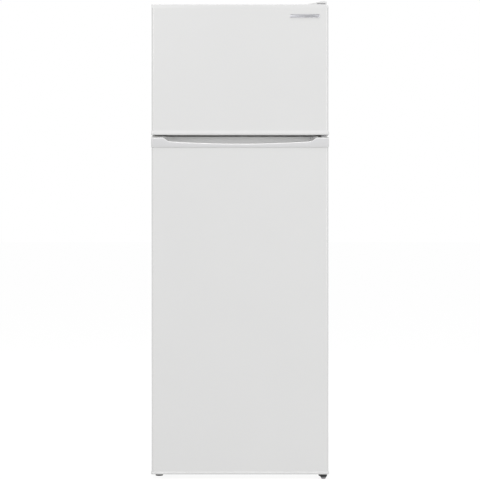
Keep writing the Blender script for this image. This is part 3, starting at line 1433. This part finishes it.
# ---- machine compartment ------------------------------------------------------------
def machine_linings():
    """Thin sheets that close the foam beside and under the compressor bay."""
    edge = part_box("compressor_tray")[1].x
    pan_low, pan_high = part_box("base_pan")
    shell_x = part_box("cabinet_shell")[1].x
    sheets = bmesh.new()
    for side in (-1, 1):
        x = mirrored(side, edge + 0.00005, edge + 0.0006)
        merge(sheets, block((x[0], 0.0805, pan_low.z + 0.0005),
                            (x[1], pan_high.y, pan_high.z - 0.0015)))
        under = mirrored(side, edge + 0.00005, shell_x - 0.0012)
        merge(sheets, block((under[0], 0.0770, pan_low.z), (under[1], 0.2525, pan_low.z + 0.0008)))
    shape("bay_linings", sheets, "zinc_steel", "root")


def compressor_unit():
    """Welded steel dome on a plate, with its tube collars, nuts and rubber mounts."""
    low, high, (x, y, _) = centred("compressor")
    plate_top, top = low.z + 0.0032, high.z
    dome = [(0, top), (0.020, top - 0.0006), (0.034, top - 0.0030)]
    dome += quarter((0.036, top - 0.0350), 0.0325, 82, 4, 9)
    dome += [(0.0695, 0.1235), (0.0702, 0.1222), (0.0718, 0.1212), (0.0720, 0.1198),
             (0.0714, 0.1180), (0.0700, 0.1172), (0.0690, 0.1150), (0.0678, 0.080),
             (0.0668, 0.0700), (0.0640, 0.0600), (0.0570, 0.0510), (0.0470, 0.0462),
             (0.0400, 0.0440), (0, 0.0436)]
    bm = lathe(dome, (x, y, 0), steps=64)
    plate = rounded(corners((low.x, high.x), (low.y, high.y)), [0.012] * 4, 5)
    foot = extruded(plate, "XY", low.z, plate_top)
    soften(foot, 0.0008, 2, level_edges(foot))
    merge(bm, foot)
    for turn in range(3):
        across, along = circle_point(0.050, 40 + 120 * turn)
        merge(bm, soft_block((x + across - 0.012, y + along - 0.003, plate_top - 0.001),
                             (x + across + 0.012, y + along + 0.003, 0.056), 0.0012, 2))
    shape("compressor_body", bm, "black_enamel", "root", ["compressor"], 32)
    stubs = bmesh.new()
    for shift in (0.020, -0.020):
        merge(stubs, lathe([(0, -0.004), (0.0034, -0.004), (0.0034, 0.0), (0.0046, 0.0010),
                            (0.0046, 0.0048), (0.0030, 0.0060), (0.0, 0.0060)],
                           (x + 0.0640, y + shift, 0.140), "X", 20))
    for number in range(1, 5):
        node = f"compressor_grommet_{number}"
        low, high, (gx, gy, _) = centred(node)
        nut = lathe([(0, plate_top + 0.0075), (0.0020, plate_top + 0.0075),
                     (0.0024, plate_top + 0.0066), (0.0024, plate_top + 0.0048),
                     (0.0044, plate_top + 0.0046), (0.0050, plate_top + 0.0040),
                     (0.0050, plate_top + 0.0012), (0.0072, plate_top + 0.0010),
                     (0.0072, plate_top), (0, plate_top)], (gx, gy, 0), steps=30)
        merge(stubs, nut)
        height, r = high.z - low.z, (high.x - low.x) / 2
        rubber = [(0, height), (r - 0.0008, height), (r, height - 0.0010), (r, height - 0.0034),
                  (r - 0.0018, height * 0.62), (r - 0.0024, height * 0.5),
                  (r - 0.0018, height * 0.38), (r, 0.0034), (r, 0.0010), (r - 0.0008, 0), (0, 0)]
        shape(f"mount_rubber_{number}", lathe(rubber, (gx, gy, low.z), steps=36),
              "grommet_rubber", "root", [node], 30)
    shape("compressor_fittings", stubs, "screw_steel", "root", smooth=30)


def relay():
    """Relay cover with ribs and a wire clip, and its leads along the bay's wall."""
    low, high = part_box("start_relay_cover")
    bm = soft_block(low, high, 0.0042, 5)
    for i in range(5):
        z = low.z + 0.014 + i * 0.009
        merge(bm, soft_block((low.x - 0.0007, low.y + 0.008, z),
                             (low.x + 0.002, high.y - 0.008, z + 0.0035), 0.0006, 2))
    shape("relay_box", bm, "black_plastic", "root", ["start_relay_cover"], 30)
    leads = bmesh.new()
    for i, lift in enumerate((0.0, 0.004, 0.008)):
        y = low.y + 0.012 + i * 0.004
        merge(leads, tube(smooth_path([
            (low.x + 0.003, y, low.z + 0.010 + lift), (low.x - 0.020, y, low.z - 0.010 + lift),
            (low.x - 0.070, y - 0.030, low.z - 0.030 + lift),
            (low.x - 0.150, 0.100 + i * 0.003, low.z - 0.022 + lift),
            (-0.225, 0.092 + i * 0.003, low.z + 0.030 + lift),
            (-0.228, 0.092 + i * 0.003, 0.2480),
        ], 6), 0.0013, 8))
    shape("relay_leads", leads, "black_plastic", "root", smooth=40)


def defrost_tray():
    """Pan that catches defrost water over the compressor."""
    low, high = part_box("drip_tray")
    bm = tub(low, high, 0.0016, 0.012, 0.005, 0.0012, 0.0020)
    shape("defrost_pan", bm, "white_moulding", "root", ["drip_tray"], 32)


def refrigerant_lines():
    """Drier, capillary and both service lines."""
    low, high, (x, y, _) = centred("filter_drier")
    r = (high.x - low.x) / 2
    profile = [(0, high.z), (0.0031, high.z), (0.0031, high.z - 0.0070),
               (0.0042, high.z - 0.0092), (r - 0.0008, high.z - 0.0148), (r, high.z - 0.0168),
               (r, low.z + 0.0188), (r - 0.0008, low.z + 0.0165), (0.0042, low.z + 0.0112),
               (0.0030, low.z + 0.0092), (0.0022, low.z), (0, low.z)]
    bm = lathe(profile, (x, y, 0), steps=40)
    for z in (high.z - 0.0190, low.z + 0.0215):
        merge(bm, lathe([(r - 0.0006, -0.0008), (r + 0.0001, 0.0), (r - 0.0006, 0.0008)],
                        (x, y, z), steps=40))
    shape("drier_body", bm, "copper", "root", ["filter_drier"], 30)
    loops = [Vector((x, y, low.z + 0.001)), Vector((x, y, low.z - 0.008))]
    turns, spread = 3, 0.017
    cx, cy = x + spread, y
    for i in range(turns * 18 + 1):
        a = math.pi + math.tau * i / 18
        loops.append(Vector((cx + spread * math.cos(a), cy - 0.012 + spread * math.sin(a) * 0.7,
                             low.z - 0.014 - 0.0018 * i / 18)))
    end = [(x + 0.004, y - 0.026, low.z - 0.016), (-0.080, 0.102, 0.070), (-0.075, 0.096, 0.130),
           (-0.075, 0.093, 0.200), (-0.075, 0.093, 0.2495)]
    path = loops[:2] + smooth_path(loops[2:], 2) + smooth_path([loops[-1], *end], 8)[1:]
    shape("capillary", tube(path, 0.0010, 8), "copper", "root", smooth=40)
    unit_x, unit_y, _ = centred("compressor")[2]
    coil_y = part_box("condenser_coil")[1].y - COIL_TUBE
    out = smooth_path([
        (unit_x + 0.0693, unit_y + 0.020, 0.140), (unit_x + 0.082, unit_y + 0.024, 0.142),
        (0.168, 0.205, 0.165), (0.190, 0.245, 0.195), (RISER_X, coil_y - 0.006, 0.225),
        (RISER_X, coil_y, 0.250), (RISER_X, coil_y, RISER_FOOT - 0.0003),
    ])
    shape("discharge_line", tube(out, COIL_TUBE, 14), "copper", "root", ["discharge_tube"], 40)
    back = smooth_path([
        (unit_x + 0.0693, unit_y - 0.020, 0.140), (unit_x + 0.084, unit_y - 0.026, 0.141),
        (0.165, 0.118, 0.160), (0.175, 0.104, 0.195), (0.175, 0.102, 0.225),
        (0.175, 0.102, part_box("suction_tube")[1].z),
    ])
    shape("suction_line", tube(back, 0.0032, 14), "copper", "root", ["suction_tube"], 40)


def rollers():
    """Wheels with a rounded tread and a hub on a steel axle."""
    for node in ("rear_roller_left", "rear_roller_right"):
        low, high, centre = centred(node)
        axle, wheel, r = (high.x - low.x) / 2, 0.008, (high.z - low.z) / 2
        profile = [(0.0031, wheel), (0.0052, wheel), (0.0056, wheel - 0.0004),
                   (0.0060, wheel - 0.0018), (r - 0.0026, wheel - 0.0018),
                   (r - 0.0020, wheel - 0.0004), (r - 0.0012, wheel), (r - 0.0003, wheel - 0.0012),
                   (r, wheel - 0.0028)]
        profile += [(u, -v) for u, v in reversed(profile)]
        bm = lathe(profile + [profile[0]], centre, "X", 40)
        for i in range(6):
            a = math.tau * i / 6
            spoke = block((-wheel + 0.0012, -0.0006, 0.0050), (wheel - 0.0012, 0.0006, r - 0.0022))
            bmesh.ops.rotate(spoke, verts=spoke.verts, cent=(0, 0, 0),
                             matrix=Matrix.Rotation(a, 3, "X"))
            bmesh.ops.translate(spoke, verts=spoke.verts, vec=centre)
            merge(bm, spoke)
        shape(node + "_wheel", bm, "black_plastic", node, [node], 30)
        pin = [(0, axle), (0.0024, axle), (0.0030, axle - 0.0006), (0.0030, 0.0006 - axle),
               (0.0024, -axle), (0, -axle)]
        shape(node + "_axle", lathe(pin, centre, "X", 24), "screw_steel", node)


# ---- hinge plates -------------------------------------------------------------------
def pin_profile(radius, length, nose=0.0008):
    """Half outline of a hinge pin with a chamfered nose."""
    return [(0, length), (radius - nose, length), (radius, length - nose), (radius, 0), (0, 0)]


def middle_hinge():
    """Pressed tongue with rounded corners, riveted pin and a screwed plate."""
    low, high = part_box("middle_hinge_bracket")
    pin_x, pin_y = HINGE_AXIS
    tongue_low, tongue_high = 1.0615, 1.0645
    outline = rounded(corners((0.249, 0.268), (low.y, high.y - 0.001)),
                      [0.006, 0.006, 0, 0.002], 6)
    bm = extruded(outline, "XY", tongue_low, tongue_high)
    soften(bm, 0.0004, 2, level_edges(bm))
    plate = rounded(corners((0.259, 0.269), (low.z, high.z)), [0.002] * 4, 4)
    merge(bm, extruded(plate, "XZ", high.y - 0.002, high.y))
    middle = (tongue_low + tongue_high) / 2
    for axis in ("Z", "-Z"):
        merge(bm, lathe(pin_profile(0.0035, 0.012), (pin_x, pin_y, middle), axis, 28))
    shape("middle_hinge", bm, "zinc_steel", "root", ["middle_hinge_bracket"], 32)


def bottom_hinge():
    """Black angle that carries the door's hollow pin."""
    low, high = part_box("bottom_hinge_bracket")
    pin_x, pin_y = HINGE_AXIS
    arm_low, arm_high = 0.0098, 0.0146
    outline = rounded(corners((0.244, 0.270), (low.y, high.y - 0.001)),
                      [0.008, 0.006, 0, 0.002], 6)
    bm = extruded(outline, "XY", arm_low, arm_high)
    soften(bm, 0.0006, 2, level_edges(bm))
    plate = rounded(corners((low.x, high.x), (low.z, high.z)), [0.002] * 4, 4)
    merge(bm, extruded(plate, "XZ", high.y - 0.002, high.y))
    shape("bottom_hinge", bm, "black_enamel", "root", ["bottom_hinge_bracket"], 32)
    sleeve = [(0.0028, 0.0), (0.0045, 0.0), (0.0045, 0.0138), (0.0040, 0.0143), (0.0028, 0.0143),
              (0.0028, 0.0)]
    shape("lower_pin", lathe(sleeve, (pin_x, pin_y, arm_high), "Z", 28), "screw_steel", "root",
          smooth=30)


rear_sheet()
condenser()
rails()
gland()
machine_linings()
compressor_unit()
relay()
defrost_tray()
refrigerant_lines()
rollers()
middle_hinge()
bottom_hinge()
